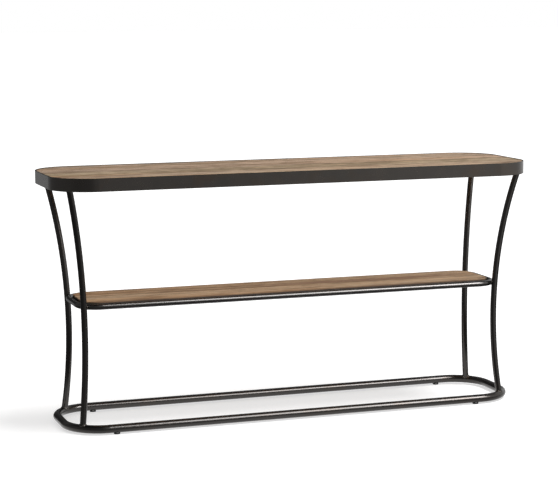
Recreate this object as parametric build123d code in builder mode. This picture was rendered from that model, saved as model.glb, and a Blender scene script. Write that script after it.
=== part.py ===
"""Console table: a plank top in a bent steel rim, a plank shelf in a bent round bar, four bowed
tube legs and a tube base ring that stands on four screw feet.

Millimetres. +X runs along the table, +Y to its back and +Z up. The origin is on the floor under
the middle of the table.
"""

import os
from math import asin, atan2, cos, degrees, hypot, radians, sin, sqrt

from build123d import *

os.makedirs("parts", exist_ok=True)

# Overall size
TABLE_L = 1512
TABLE_D = 420
TABLE_H = 762

# Clearances
WELD_GAP = 0.3  # between round pieces that a weld bead joins
FIT_GAP = 0.1  # on the radius of a shank in its hole
SEAM = 0.6  # between neighbouring boards
EASE = 0.8  # broken edges of boards, rim and bars

# Top: a flat bar bent on edge, with the boards set flush inside it
RIM_H = 39
RIM_T = 3
RIM_CORNER_R = 123.5
TOP_BOARD_T = 25
TOP_BOARDS = 4
TOP_EDGE_GAP = 1.0
TOP_BAR_W = 40
TOP_BAR_T = 5
TOP_BARS = 3
TOP_BAR_TO_PLATE = 112  # from the outer bars to the corner plates
PLATE_L = 140
PLATE_D = 118
PLATE_SCREW_INSET = 24
PLATE_SCREW_PITCH = 60

# Base ring: round tube bent to a rounded rectangle, sizes on its centreline
BASE_INSET_X = 43  # inside the ends of the table
BASE_INSET_Y = 55.5  # inside its front and back
BASE_CORNER_R = 111.5
BASE_TUBE_R = 12.5
BASE_WALL = 1.5

# Legs: round tube bowed to one arc, leaning out over each corner
LEG_R = 9.5
LEG_WALL = 1.5
LEG_BEND_R = 1424
LEG_STAND_ANGLE = 47.9  # place round the base ring's corner
LEG_HEAD_ANGLE = 44.6  # place round the rim's corner

# Shelf: round bar bent to a rounded rectangle between the legs, with boards set inside it
SHELF_Z = 374.5  # centre of the bar
SHELF_BAR_R = 9.0
SHELF_CORNER_R = 62
SHELF_CONTACT_ANGLE = 46.9  # where its corner meets the leg
SHELF_BOARD_T = 16
SHELF_BOARDS = 2
SHELF_EDGE_GAP = 3.0
SHELF_PROUD = 3.0  # boards above the bar
STRAP_W = 30
STRAP_T = 3
STRAPS = 3
STRAP_INSET = 252  # from the ends of the shelf bar to the outer straps

# Wood screws, driven up through bars, plates and straps
SCREW_R = 2.0
SCREW_HEAD_R = 4.0
SCREW_HEAD_T = 2.4
SCREW_BITE = 12  # into the boards
SCREW_POINT = 3
SCREW_EDGE = 20  # from the long edges of each board

# Low screw feet: a steel stud turns in a welded bush and carries a plastic pad
FOOT_INSET = 21.5  # from the start of the base ring's corner
STUD_R = 4.0
STUD_TIP_GAP = 4.5  # under the tube's upper wall
STUD_NECK_R = 2.7
STUD_HEAD_R = 5.5
STUD_HEAD_T = 1.3
STUD_KEY_AF = 3.0  # hexagon socket in the head, for a key from below
STUD_KEY_DEPTH = 2.2
BUSH_WALL = 1.9
BUSH_L = 13
PAD_R = 9.5
PAD_FLOOR = 0.8  # under the stud's head
PAD_LIP = 0.7  # over the stud's head
PAD_KEY_R = 2.2  # hole that lets the key through
PAD_ROUND = 0.5
PAD_PLAY = 0.3  # round the stud's head, and between foot and table

# Places that follow from the sizes above
RIM_INNER_L = TABLE_L - 2 * RIM_T
RIM_INNER_D = TABLE_D - 2 * RIM_T
RIM_INNER_R = RIM_CORNER_R - RIM_T
RIM_BOTTOM_Z = TABLE_H - RIM_H
TOP_BOARD_Z = TABLE_H - TOP_BOARD_T
LEG_TOP_Z = TOP_BOARD_Z - TOP_BAR_T
BASE_L = TABLE_L - 2 * BASE_INSET_X
BASE_D = TABLE_D - 2 * BASE_INSET_Y
FOOT_X = BASE_L / 2 - BASE_CORNER_R - FOOT_INSET
FOOT_Y = BASE_D / 2
STUD_HEAD_Z = PAD_FLOOR + PAD_PLAY
PAD_H = STUD_HEAD_Z + STUD_HEAD_T + PAD_PLAY + PAD_LIP
BASE_BOTTOM_Z = PAD_H + PAD_PLAY
BASE_Z = BASE_BOTTOM_Z + BASE_TUBE_R
STUD_TOP_Z = BASE_Z + BASE_TUBE_R - BASE_WALL - STUD_TIP_GAP
BUSH_R = STUD_R + FIT_GAP + BUSH_WALL
SHELF_TOP_Z = SHELF_Z + SHELF_BAR_R + SHELF_PROUD
SHELF_BOARD_Z = SHELF_TOP_Z - SHELF_BOARD_T

CORNERS = {
    "front_left": (-1, -1),
    "front_right": (1, -1),
    "back_left": (-1, 1),
    "back_right": (1, 1),
}


def leg_axis():
    """The arc of the leg in the +X +Y corner: its waist, where it is upright, and its heading.

    It stands on the base ring's centreline, and its head clears the rim's inner face.
    """
    stand = radians(LEG_STAND_ANGLE)
    stand_x = BASE_L / 2 - BASE_CORNER_R * (1 - cos(stand))
    stand_y = BASE_D / 2 - BASE_CORNER_R * (1 - sin(stand))
    head = radians(LEG_HEAD_ANGLE)
    rise = LEG_TOP_Z - BASE_Z
    level_r = LEG_R
    for _ in range(2):  # the second time with the wider level section of the leaning head
        head_reach = RIM_INNER_R - WELD_GAP - level_r
        run_x = RIM_INNER_L / 2 - RIM_INNER_R + head_reach * cos(head) - stand_x
        run_y = RIM_INNER_D / 2 - RIM_INNER_R + head_reach * sin(head) - stand_y
        run = hypot(run_x, run_y)
        chord = hypot(run, rise)
        level_r = LEG_R / cos(atan2(run, rise) + asin(chord / 2 / LEG_BEND_R))
    heading = atan2(run_y, run_x)
    chord_to_centre = sqrt(LEG_BEND_R**2 - (chord / 2) ** 2)
    waist_s = run / 2 + rise / chord * chord_to_centre - LEG_BEND_R
    waist_z = BASE_Z + rise / 2 - run / chord * chord_to_centre
    return stand_x + waist_s * cos(heading), stand_y + waist_s * sin(heading), waist_z, heading


LEG_X, LEG_Y, LEG_Z, LEG_HEADING = leg_axis()


def shelf_size():
    """Length and depth of the shelf bar's centreline, whose corners touch the four legs."""
    lean = LEG_BEND_R - sqrt(LEG_BEND_R**2 - (SHELF_Z - LEG_Z) ** 2)
    contact = radians(SHELF_CONTACT_ANGLE)
    reach = SHELF_CORNER_R + SHELF_BAR_R + WELD_GAP + LEG_R
    corner_x = LEG_X + lean * cos(LEG_HEADING) - reach * cos(contact)
    corner_y = LEG_Y + lean * sin(LEG_HEADING) - reach * sin(contact)
    return 2 * (corner_x + SHELF_CORNER_R), 2 * (corner_y + SHELF_CORNER_R)


SHELF_L, SHELF_D = shelf_size()


def save(part, name):
    """Labels a finished piece and writes it."""
    part.label = name
    export_step(part, f"parts/{name}.step")


def spaced(count, pitch):
    """Centres of count places, pitch apart, about zero."""
    return [(i - (count - 1) / 2) * pitch for i in range(count)]


def spanned(count, span):
    """Centres of count places, evenly spread from end to end of a span about zero."""
    return spaced(count, span / max(count - 1, 1))


def board_width(depth, count):
    """Width of each of count boards that fill the depth."""
    return (depth - (count - 1) * SEAM) / count


def ring(length, depth, corner_r, height, bar_r):
    """Round bar bent to a closed rounded rectangle, sizes on its centreline."""
    with BuildSketch(Plane.XY.offset(height)) as outline:
        RectangleRounded(length, depth, corner_r)
    route = outline.sketch.face().outer_wire()
    with BuildPart() as bar:
        with BuildSketch(Plane(origin=route @ 0, z_dir=route % 0)):
            Circle(bar_r)
        sweep(path=route)
    return bar.part


def screw_places(bar_xs, board_ys, width):
    """Where screws go through bars that run across the boards, two in each board."""
    pair = spaced(2, width - 2 * SCREW_EDGE)
    return [(x, y + dy) for x in bar_xs for y in board_ys for dy in pair]


def screws(places, seat_z, grip):
    """Pan-head wood screws driven up through grip of steel, whose underside is seat_z."""
    tip = grip + SCREW_BITE
    with BuildPart() as one:
        with BuildSketch(Plane.XZ):
            with BuildLine():
                Polyline(
                    (0, -SCREW_HEAD_T),
                    (SCREW_HEAD_R - EASE, -SCREW_HEAD_T),
                    (SCREW_HEAD_R, EASE - SCREW_HEAD_T),
                    (SCREW_HEAD_R, 0),
                    (SCREW_R, 0),
                    (SCREW_R, tip - SCREW_POINT),
                    (0, tip),
                    close=True,
                )
            make_face()
        revolve(axis=Axis.Z)
    with BuildPart() as group:
        with Locations(*[(x, y, seat_z) for x, y in places]):
            add(one.part)
    return group.part


def board(length, depth, corner_r, count, index, bottom_z, thickness, places):
    """One of count boards that fill a rounded rectangle, with pilot holes from below."""
    width = board_width(depth, count)
    middle = spaced(count, width + SEAM)[index]
    own = [(x, y, bottom_z) for x, y in places if abs(y - middle) < width / 2]
    with BuildPart() as plank:
        with BuildSketch(Plane.XY.offset(bottom_z)):
            RectangleRounded(length, depth, corner_r)
            with Locations((0, middle)):
                Rectangle(length, width, mode=Mode.INTERSECT)
        extrude(amount=thickness)
        chamfer(plank.faces().sort_by(Axis.Z)[-1].edges(), EASE)
        with Locations(*own):
            Cylinder(
                SCREW_R + FIT_GAP,
                SCREW_BITE + FIT_GAP,
                align=(Align.CENTER, Align.CENTER, Align.MIN),
                mode=Mode.SUBTRACT,
            )
    return plank.part


def cross_bar(x, width, depth, bottom_z, thickness, places):
    """Flat bar across the boards, drilled for its own screws."""
    own = [place for place in places if place[0] == x]
    with BuildPart() as bar:
        with BuildSketch(Plane.XY.offset(bottom_z)):
            with Locations((x, 0)):
                Rectangle(width, depth)
            with Locations(*own):
                Circle(SCREW_R + FIT_GAP, mode=Mode.SUBTRACT)
        extrude(amount=thickness)
    return bar.part


def make_rim():
    with BuildPart() as rim:
        with BuildSketch(Plane.XY.offset(RIM_BOTTOM_Z)):
            RectangleRounded(TABLE_L, TABLE_D, RIM_CORNER_R)
            RectangleRounded(RIM_INNER_L, RIM_INNER_D, RIM_INNER_R, mode=Mode.SUBTRACT)
        extrude(amount=RIM_H)
        chamfer(rim.edges().filter_by(GeomType.CIRCLE).group_by(SortBy.RADIUS)[-1], EASE)
    save(rim.part, "top_rim")


def make_top():
    """Boards, the bars and corner plates under them, and their screws."""
    length = RIM_INNER_L - 2 * TOP_EDGE_GAP
    depth = RIM_INNER_D - 2 * TOP_EDGE_GAP
    width = board_width(depth, TOP_BOARDS)
    board_ys = spaced(TOP_BOARDS, width + SEAM)
    bar_xs = spanned(TOP_BARS, RIM_INNER_L - 2 * (PLATE_L + TOP_BAR_TO_PLATE) - TOP_BAR_W)
    bar_places = screw_places(bar_xs, board_ys, width)
    plate_places = {
        name: [
            (sx * (RIM_INNER_L / 2 - PLATE_L + PLATE_SCREW_INSET), sy * board_ys[-1] + dy)
            for dy in spaced(2, PLATE_SCREW_PITCH)
        ]
        for name, (sx, sy) in CORNERS.items()
    }
    places = bar_places + sum(plate_places.values(), [])
    for i in range(TOP_BOARDS):
        plank = board(
            length, depth, RIM_INNER_R - TOP_EDGE_GAP, TOP_BOARDS, i, TOP_BOARD_Z, TOP_BOARD_T, places
        )
        save(plank, f"top_board_{i + 1}")
    for i, x in enumerate(bar_xs):
        bar = cross_bar(x, TOP_BAR_W, RIM_INNER_D, LEG_TOP_Z, TOP_BAR_T, bar_places)
        save(bar, f"top_bar_{i + 1}")
    for name, (sx, sy) in CORNERS.items():
        with BuildPart() as plate:
            with BuildSketch(Plane.XY.offset(LEG_TOP_Z)):
                RectangleRounded(
                    RIM_INNER_L - 2 * WELD_GAP, RIM_INNER_D - 2 * WELD_GAP, RIM_INNER_R - WELD_GAP
                )
                with Locations(
                    (sx * (RIM_INNER_L - PLATE_L) / 2, sy * (RIM_INNER_D - PLATE_D) / 2)
                ):
                    Rectangle(PLATE_L, PLATE_D, mode=Mode.INTERSECT)
                with Locations(*plate_places[name]):
                    Circle(SCREW_R + FIT_GAP, mode=Mode.SUBTRACT)
            extrude(amount=TOP_BAR_T)
        save(plate.part, f"{name}_corner_plate")
    save(screws(places, LEG_TOP_Z, TOP_BAR_T), "top_screws")


def make_shelf():
    """Bent bar, boards, the straps under them, and their screws."""
    save(ring(SHELF_L, SHELF_D, SHELF_CORNER_R, SHELF_Z, SHELF_BAR_R), "shelf_ring")
    inset = SHELF_BAR_R + SHELF_EDGE_GAP
    length = SHELF_L - 2 * inset
    depth = SHELF_D - 2 * inset
    width = board_width(depth, SHELF_BOARDS)
    strap_xs = spanned(STRAPS, SHELF_L - 2 * STRAP_INSET)
    strap_z = SHELF_BOARD_Z - STRAP_T
    places = screw_places(strap_xs, spaced(SHELF_BOARDS, width + SEAM), width)
    for i in range(SHELF_BOARDS):
        plank = board(
            length, depth, SHELF_CORNER_R - inset, SHELF_BOARDS, i, SHELF_BOARD_Z, SHELF_BOARD_T, places
        )
        save(plank, f"shelf_board_{i + 1}")
    for i, x in enumerate(strap_xs):
        with BuildPart() as strap:
            add(cross_bar(x, STRAP_W, SHELF_D, strap_z, STRAP_T, places))
            # Each end is coped right across its width, to butt against the bent bar.
            with Locations((x, -SHELF_D / 2, SHELF_Z), (x, SHELF_D / 2, SHELF_Z)):
                Cylinder(
                    SHELF_BAR_R + WELD_GAP,
                    STRAP_W + 2 * WELD_GAP,
                    rotation=(0, 90, 0),
                    mode=Mode.SUBTRACT,
                )
        save(strap.part, f"shelf_strap_{i + 1}")
    save(screws(places, strap_z, STRAP_T), "shelf_screws")


def make_base():
    """Tube ring with a welded bush over each foot."""
    feet = [(sx * FOOT_X, sy * FOOT_Y) for sx, sy in CORNERS.values()]
    bore = ring(BASE_L, BASE_D, BASE_CORNER_R, BASE_Z, BASE_TUBE_R - BASE_WALL)
    with BuildPart() as tube:
        add(ring(BASE_L, BASE_D, BASE_CORNER_R, BASE_Z, BASE_TUBE_R))
        add(bore, mode=Mode.SUBTRACT)
        with BuildSketch(Plane.XY):
            with Locations(*feet):
                Circle(BUSH_R + FIT_GAP)
        extrude(amount=BASE_Z, mode=Mode.SUBTRACT)
    save(tube.part, "base_ring")
    with BuildPart() as bushes:
        with BuildSketch(Plane.XY.offset(BASE_BOTTOM_Z)):
            with Locations(*feet):
                Circle(BUSH_R)
                Circle(STUD_R + FIT_GAP, mode=Mode.SUBTRACT)
        extrude(amount=BUSH_L)
    save(bushes.part, "foot_bushes")


def make_leg(name, sx, sy, saddle):
    """Tube bowed outwards both ways from its waist, cut level under its plate."""
    outward = (sx * cos(LEG_HEADING), sy * sin(LEG_HEADING), 0)
    across = (sy * sin(LEG_HEADING), -sx * cos(LEG_HEADING), 0)
    uncut_top_z = LEG_TOP_Z + LEG_R
    rise = degrees(asin((uncut_top_z - LEG_Z) / LEG_BEND_R))
    drop = degrees(asin((LEG_Z - BASE_Z) / LEG_BEND_R))
    with BuildPart() as leg:
        waist = Plane(origin=(sx * LEG_X, sy * LEG_Y, LEG_Z), x_dir=outward, z_dir=across)
        with BuildLine(waist) as axis:
            CenterArc((LEG_BEND_R, 0), LEG_BEND_R, 180 - rise, rise + drop)
        with BuildSketch(Plane(origin=axis.line @ 0, z_dir=axis.line % 0)):
            Circle(LEG_R)
            Circle(LEG_R - LEG_WALL, mode=Mode.SUBTRACT)
        sweep()
        split(bisect_by=Plane.XY.offset(LEG_TOP_Z), keep=Keep.BOTTOM)
        add(saddle, mode=Mode.SUBTRACT)
    save(leg.part, f"{name}_leg")


def make_foot(name, sx, sy):
    """Stud and pad of one screw foot, screwed fully in. A key turns the stud through the pad."""
    x, y = sx * FOOT_X, sy * FOOT_Y
    with BuildPart() as stud:
        with BuildSketch(Plane((x, y, STUD_HEAD_Z))):
            Circle(STUD_HEAD_R)
        extrude(amount=STUD_HEAD_T)
        with BuildSketch(Plane((x, y, STUD_HEAD_Z))):
            Circle(STUD_NECK_R)
        extrude(amount=BASE_BOTTOM_Z - STUD_HEAD_Z)
        with BuildSketch(Plane((x, y, BASE_BOTTOM_Z))):
            Circle(STUD_R)
        extrude(amount=STUD_TOP_Z - BASE_BOTTOM_Z)
        chamfer(stud.faces().sort_by(Axis.Z)[-1].edges(), EASE)
        with BuildSketch(Plane((x, y, STUD_HEAD_Z))):
            RegularPolygon(STUD_KEY_AF / 2, 6, major_radius=False)
        extrude(amount=STUD_KEY_DEPTH, mode=Mode.SUBTRACT)
    save(stud.part, f"{name}_foot_stud")
    with BuildPart() as pad:
        with BuildSketch(Plane((x, y, 0))):
            Circle(PAD_R)
        extrude(amount=PAD_H)
        fillet(pad.edges(), PAD_ROUND)
        with BuildSketch(Plane((x, y, PAD_FLOOR))):
            Circle(STUD_HEAD_R + PAD_PLAY)
        extrude(amount=STUD_HEAD_T + 2 * PAD_PLAY, mode=Mode.SUBTRACT)
        with BuildSketch(Plane((x, y, PAD_FLOOR))):
            Circle(STUD_NECK_R + PAD_PLAY)
        extrude(amount=PAD_H, mode=Mode.SUBTRACT)
        with BuildSketch(Plane((x, y, 0))):
            Circle(PAD_KEY_R)
        extrude(amount=PAD_H, mode=Mode.SUBTRACT)
    save(pad.part, f"{name}_foot_pad")


make_rim()
make_top()
make_shelf()
make_base()
leg_saddle = ring(BASE_L, BASE_D, BASE_CORNER_R, BASE_Z, BASE_TUBE_R + WELD_GAP)
for corner, (side_x, side_y) in CORNERS.items():
    make_leg(corner, side_x, side_y, leg_saddle)
    make_foot(corner, side_x, side_y)
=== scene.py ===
"""Looks of a console table: plank top and shelf, dark lacquered steel, weld beads and screw feet.

Sizes are in metres. +X runs along the table, +Y to its back and +Z up, as in the frame.
"""
import math
import random

import bpy
from mathutils import Euler, Matrix, Vector
from mathutils.bvhtree import BVHTree
from mathutils.geometry import intersect_point_line


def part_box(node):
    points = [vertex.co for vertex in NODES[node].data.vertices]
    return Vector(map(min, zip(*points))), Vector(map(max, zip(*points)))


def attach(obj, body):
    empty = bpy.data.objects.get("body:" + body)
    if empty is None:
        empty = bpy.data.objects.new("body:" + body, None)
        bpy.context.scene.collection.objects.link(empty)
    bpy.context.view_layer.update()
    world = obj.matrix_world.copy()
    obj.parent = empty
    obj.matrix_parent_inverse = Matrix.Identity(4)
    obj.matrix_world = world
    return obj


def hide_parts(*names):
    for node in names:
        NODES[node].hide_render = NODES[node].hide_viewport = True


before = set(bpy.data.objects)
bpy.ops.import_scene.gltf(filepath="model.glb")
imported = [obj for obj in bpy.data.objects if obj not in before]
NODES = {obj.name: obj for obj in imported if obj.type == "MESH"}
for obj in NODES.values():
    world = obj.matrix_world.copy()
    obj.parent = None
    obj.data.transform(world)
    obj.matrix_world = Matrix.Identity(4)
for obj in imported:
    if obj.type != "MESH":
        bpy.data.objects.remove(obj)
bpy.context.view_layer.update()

MM = 0.001
TURN = 2 * math.pi
CORNERS = ("front_left", "front_right", "back_left", "back_right")

# Seeds of the random draws. A board's number is added to those of the wood.
TOP_TONE_SEED = 100
TOP_WOOD_SEED = 20
TOP_PLANK_SEED = 30
SHELF_WOOD_SEED = 80
SHELF_PLANK_SEED = 60
FEET_BEAD_SEED = 11
SHELF_BEAD_SEED = 12
HEAD_BEAD_SEED = 13
TOP_SCREW_SEED = 71
SHELF_SCREW_SEED = 72

# Camera, in metres and degrees
CAMERA_PLACE = (-1.8292, -5.2466, 1.2718)
CAMERA_YAW = -19.031
CAMERA_PITCH = -7.949
CAMERA_ROLL = -0.262
CAMERA_LENS = 117.09
CAMERA_SENSOR = 36.0
CAMERA_CLIP = 200

# Studio walls, which the metal mirrors. Their brightness goes by azimuth: 0 is towards -Y, and 0.25 turns
# is towards +X. They fade to the ceiling, and dim behind the table, over the stated parts of a direction.
WALLS = (
    (-0.50, 0.38), (-0.467, 0.27), (-0.42, 0.19), (-0.373, 0.14), (-0.265, 0.19), (-0.20, 0.18),
    (-0.144, 0.14), (-0.03, 0.16), (0.005, 0.275), (0.045, 0.335), (0.095, 0.65), (0.17, 0.66),
    (0.25, 0.55), (0.33, 0.60), (0.44, 0.50), (0.50, 0.38),
)
CEILING = 0.3
CEILING_UP = (0.4, 0.9)
BEHIND = 0.12
BEHIND_BACK = (0.72, 0.95)
ROOM_DIFFUSE = 0.45

# Floor of white paper: what it gives back to the table, and what the camera sees of it
FLOOR_HALF = 60.0
PAPER = 0.8
SEEN_PAPER = 0.62
PAPER_GLOW = 0.57
# What is mirrored of the floor, by distance from the table's middle. Distance along the table counts less.
FLOOR_COUNTS = (0.25, 1, 0)
FLOOR_GLOSS = ((0.20, 0.70), (0.30, 0.07), (0.85, 0.07))
FLOOR_AS_WALL = (0.9, 1.5)

# Lamps. The soft boxes light all but the floor, and the sun lights the floor alone.
LAMP_AIM = (0, 0, 0.35)
KEY_PLACE = (1.6, -2.7, 2.9)
KEY_SIZE = (2.4, 2.4)
KEY_RADIANCE = 6.5
ACCENT_PLACE = (2.5, -3.0, 2.7)
ACCENT_SIZE = (1.3, 1.7)
ACCENT_RADIANCE = 6.0
SIDE_SUN = 2.6
SIDE_SUN_HEIGHT = 70.0
SIDE_SUN_FORWARD = 0.15
SIDE_SUN_ANGLE = 30.0


# ---------------------------------------------------------------- node graphs


class Graph:
    """A node tree with short calls that add a node and link its inputs."""

    def __init__(self, tree):
        self.tree = tree
        tree.nodes.clear()

    def add(self, kind, inputs=None, **settings):
        node = self.tree.nodes.new(kind)
        for key, value in settings.items():
            setattr(node, key, value)
        for key, value in (inputs or {}).items():
            self.put(node.inputs[key], value)
        return node

    def put(self, socket, value):
        """Links another node's output to the socket, or gives it a plain value."""
        if isinstance(value, bpy.types.NodeSocket):
            self.tree.links.new(value, socket)
        else:
            socket.default_value = value

    def math(self, operation, *values):
        node = self.add("ShaderNodeMath", operation=operation)
        for socket, value in zip(node.inputs, values):
            self.put(socket, value)
        return node.outputs[0]

    def vector(self, operation, *values, out="Vector"):
        node = self.add("ShaderNodeVectorMath", operation=operation)
        for socket, value in zip(node.inputs, values):
            self.put(socket, value)
        return node.outputs[out]

    def weighted(self, *terms):
        """Sum of values, each times its weight."""
        parts = [self.math("MULTIPLY", value, weight) for value, weight in terms]
        total = parts[0]
        for part in parts[1:]:
            total = self.math("ADD", total, part)
        return total

    def swing(self, noise, reach):
        """A noise as a swing to both sides of 0."""
        return self.math("MULTIPLY", self.math("SUBTRACT", noise, 0.5), reach)

    def split(self, vector):
        node = self.add("ShaderNodeSeparateXYZ", {0: vector})
        return node.outputs[0], node.outputs[1], node.outputs[2]

    def join(self, x, y, z):
        return self.add("ShaderNodeCombineXYZ", {0: x, 1: y, 2: z}).outputs[0]

    def mix(self, factor, a, b, blend="MIX"):
        node = self.add("ShaderNodeMix", data_type="RGBA", blend_type=blend)
        for socket, value in zip((node.inputs[0], node.inputs[6], node.inputs[7]), (factor, a, b)):
            self.put(socket, value)
        return node.outputs[2]

    def choose(self, factor, shader, other):
        inputs = {0: factor, 1: shader.outputs[0], 2: other.outputs[0]}
        return self.add("ShaderNodeMixShader", inputs)

    def noise(self, vector, scale, detail, roughness=0.5, distortion=0.0, out="Fac"):
        inputs = {"Vector": vector, "Scale": scale, "Detail": detail}
        inputs.update({"Roughness": roughness, "Distortion": distortion})
        return self.add("ShaderNodeTexNoise", inputs).outputs[out]

    def stretched(self, vector, scale, offset=(0, 0, 0)):
        node = self.add("ShaderNodeMapping", {"Vector": vector, "Scale": scale, "Location": offset})
        return node.outputs[0]

    def grain(self, vector, scale, detail, roughness=0.5, distortion=0.0, offset=(0, 0, 0), out="Fac"):
        """Noise with its own scale along each axis."""
        return self.noise(self.stretched(vector, scale, offset), 1.0, detail, roughness, distortion, out)

    def between(self, value, low, high, out_low=0.0, out_high=1.0):
        """A smooth step from out_low at low to out_high at high."""
        inputs = {"Value": value, "From Min": low, "From Max": high, "To Min": out_low, "To Max": out_high}
        return self.add("ShaderNodeMapRange", inputs, interpolation_type="SMOOTHSTEP").outputs[0]

    def ramp(self, value, stops):
        node = self.add("ShaderNodeValToRGB", {0: value})
        marks = node.color_ramp.elements
        while len(marks) < len(stops):
            marks.new(0.5)
        for mark, (place, tone) in zip(marks, stops):
            mark.position = place
            mark.color = tone if isinstance(tone, tuple) else (tone, tone, tone, 1.0)
        return node.outputs[0]

    def bump(self, height, strength, distance):
        inputs = {"Height": height, "Strength": strength, "Distance": distance}
        return self.add("ShaderNodeBump", inputs).outputs[0]

    def principled(self, inputs):
        self.surface(self.add("ShaderNodeBsdfPrincipled", inputs))

    def surface(self, shader):
        self.add("ShaderNodeOutputMaterial", {"Surface": shader.outputs[0]})


def colour(red, green, blue):
    return (red, green, blue, 1.0)


WHITE = colour(1, 1, 1)


def material(name):
    made = bpy.data.materials.new(name)
    made.use_nodes = True
    return made, Graph(made.node_tree)


# ---------------------------------------------------------------- steel and plastic

TUBE_TINT = (0.066, 0.061, 0.058)
BAR_TINT = (0.096, 0.091, 0.088)
FLAT_TINT = (0.087, 0.078, 0.070)
WELD_TINT = (0.11, 0.10, 0.092)
PATINA_SHIFT = (1.22, 0.95, 0.72)
PATINA_SPOT = colour(0.095, 0.075, 0.058)
PATINA_FLECK = colour(0.12, 0.10, 0.085)
# Lighter colour of worn edges, which also paints a highlight along them, and the width of that edge band
WORN_AND_LIT_EDGE = colour(0.23, 0.18, 0.14)
WORN_AND_LIT_EDGE_RADIUS = 1.6 * MM
LACQUER = 0.6
LACQUER_ROUGHNESS = 0.16
ZINC_TINT = (0.52, 0.51, 0.50)
ZINC_DULL = (0.55, 0.52, 0.46)
ZINC_ROUGHNESS = (0.26, 0.44)
PLASTIC_TONE = colour(0.013, 0.013, 0.014)
PLASTIC_SCUFF = colour(0.05, 0.048, 0.046)


def steel_material(name, tint, calm=1.0, patina=1.0, worn_lit_edges=False):
    """Dark steel under lacquer. calm scales its unevenness, and patina its brown. The edges, when asked
    for, are worn lighter and take a painted highlight.
    """
    made, g = material(name)
    place = g.add("ShaderNodeTexCoord").outputs["Object"]
    cloud = g.noise(place, 5.0, 5.0, 0.65, 0.6)
    patch = g.noise(place, 26.0, 4.0, 0.6)
    fleck = g.noise(place, 260.0, 3.0, 0.65)
    brown = colour(*(part * shift for part, shift in zip(tint, PATINA_SHIFT)))
    base = g.mix(g.between(cloud, 0.48, 0.68, 0, patina), colour(*tint), brown)
    base = g.mix(g.between(patch, 0.5, 0.75, 0, 0.45 * patina), base, PATINA_SPOT)
    base = g.mix(g.between(fleck, 0.62, 0.74, 0, 0.4 * patina), base, PATINA_FLECK)
    rough = g.between(patch, 0.3, 0.7, 0.21, 0.27)
    rough = g.math("ADD", rough, g.between(fleck, 0.55, 0.85, 0, 0.12 * calm))
    height = g.weighted((fleck, 0.5), (g.grain(place, (60, 60, 9), 3.0, 0.6), 0.6))
    # Edges lighter, partly as worn bare steel and partly as a painted highlight along them
    if worn_lit_edges:
        bevelled_normal = g.add("ShaderNodeBevel", {"Radius": WORN_AND_LIT_EDGE_RADIUS}, samples=6).outputs[0]
        plain = g.add("ShaderNodeNewGeometry").outputs["Normal"]
        edge = g.math("SUBTRACT", 1.0, g.vector("DOT_PRODUCT", bevelled_normal, plain, out="Value"))
        edge = g.math("MULTIPLY", g.between(edge, 0.01, 0.12), g.between(patch, 0.35, 0.6, 0.25, 1.0))
        base = g.mix(edge, base, WORN_AND_LIT_EDGE)
        rough = g.math("SUBTRACT", rough, g.math("MULTIPLY", edge, 0.06))
    g.principled({
        "Base Color": base,
        "Metallic": 1.0,
        "Roughness": rough,
        "Coat Weight": LACQUER,
        "Coat Roughness": LACQUER_ROUGHNESS,
        "Normal": g.bump(height, 0.12 * calm, 0.2 * MM),
    })
    return made


def plated_material(name):
    """Zinc-plated steel with dull spots."""
    made, g = material(name)
    place = g.add("ShaderNodeTexCoord").outputs["Object"]
    spot = g.noise(place, 700.0, 3.0, 0.6)
    cloud = g.noise(place, 90.0, 3.0)
    dull = colour(*(part * share for part, share in zip(ZINC_TINT, ZINC_DULL)))
    g.principled({
        "Base Color": g.mix(g.between(cloud, 0.45, 0.7, 0, 0.8), colour(*ZINC_TINT), dull),
        "Metallic": 1.0,
        "Roughness": g.between(spot, 0.3, 0.7, *ZINC_ROUGHNESS),
        "Normal": g.bump(spot, 0.1, 0.1 * MM),
    })
    return made


def plastic_material(name):
    """Moulded black plastic with a fine spark texture and scuffs."""
    made, g = material(name)
    place = g.add("ShaderNodeTexCoord").outputs["Object"]
    spark = g.noise(place, 1500.0, 2.0)
    scuff = g.grain(place, (90, 90, 600), 4.0, 0.7)
    g.principled({
        "Base Color": g.mix(g.between(scuff, 0.55, 0.75), PLASTIC_TONE, PLASTIC_SCUFF),
        "Roughness": g.between(spark, 0.3, 0.7, 0.42, 0.6),
        "Normal": g.bump(spark, 0.25, 0.1 * MM),
    })
    return made


def paint_nodes():
    """Gives every CAD node its material. Returns the materials that the welds and the screws use too."""
    tube = steel_material("tube_steel", TUBE_TINT, calm=0.3, patina=0.3)
    bar = steel_material("bar_steel", BAR_TINT, calm=0.2, patina=0.15)
    flat = steel_material("flat_steel", FLAT_TINT, calm=0.6, patina=0.5, worn_lit_edges=True)
    weld = steel_material("weld_steel", WELD_TINT, patina=0.7)
    plated = plated_material("plated_steel")
    plastic = plastic_material("foot_plastic")
    for name in sorted(NODES):
        if name.endswith("foot_pad"):
            made = plastic
        elif name.endswith(("foot_stud", "screws", "foot_bushes")):
            made = plated
        elif name == "shelf_ring":
            made = bar
        elif name.endswith(("ring", "leg")):
            made = tube
        else:
            made = flat
        NODES[name].data.materials.clear()
        NODES[name].data.materials.append(made)
    return weld, plated


# ---------------------------------------------------------------- wood

# Dark, middle and light tones, and half the range of the streaks' noise that they cover
TOP_TONES = ((0.254, 0.166, 0.094), (0.450, 0.322, 0.207), (0.626, 0.475, 0.324))
TOP_TONE_RANGE = (0.93, 1.07)  # by which the tones of each board in the top are scaled
TOP_SPREAD = 0.055
SHELF_TONES = ((0.266, 0.145, 0.068), (0.442, 0.279, 0.155), (0.585, 0.399, 0.241))
SHELF_SPREAD = 0.086
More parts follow.
